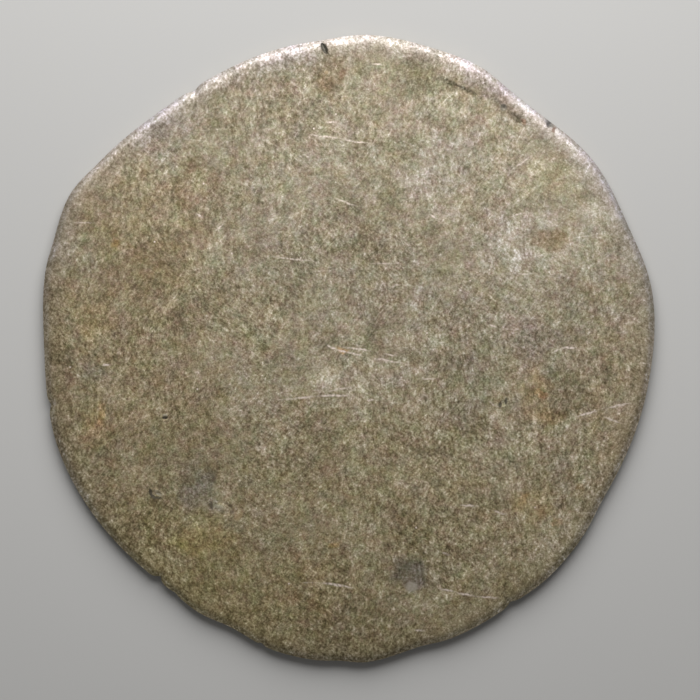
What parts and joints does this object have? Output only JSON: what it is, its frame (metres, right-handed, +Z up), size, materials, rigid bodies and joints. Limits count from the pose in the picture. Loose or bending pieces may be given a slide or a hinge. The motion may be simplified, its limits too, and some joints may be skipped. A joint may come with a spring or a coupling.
{
  "type": "worn hammered silver penny",
  "caption": "Thin hammered silver penny worn smooth, with an uneven round outline, rounded shoulders, edge cracks and small pits.",
  "frame": {"origin": "under the middle of the coin's outline box, on the surface that it lies on", "axes": "+Z up through the coin's thickness, +Y towards twelve o'clock of the face as pictured, +X towards three o'clock"},
  "size_m": [0.018, 0.0184, 0.0005],
  "materials": {
    "worn_silver": "dull toned silver with a fine scuffed grain, paler where the rim is rubbed"
  },
  "bodies": {
    "root": {"penny": "worn_silver"}
  },
  "joints": []
}
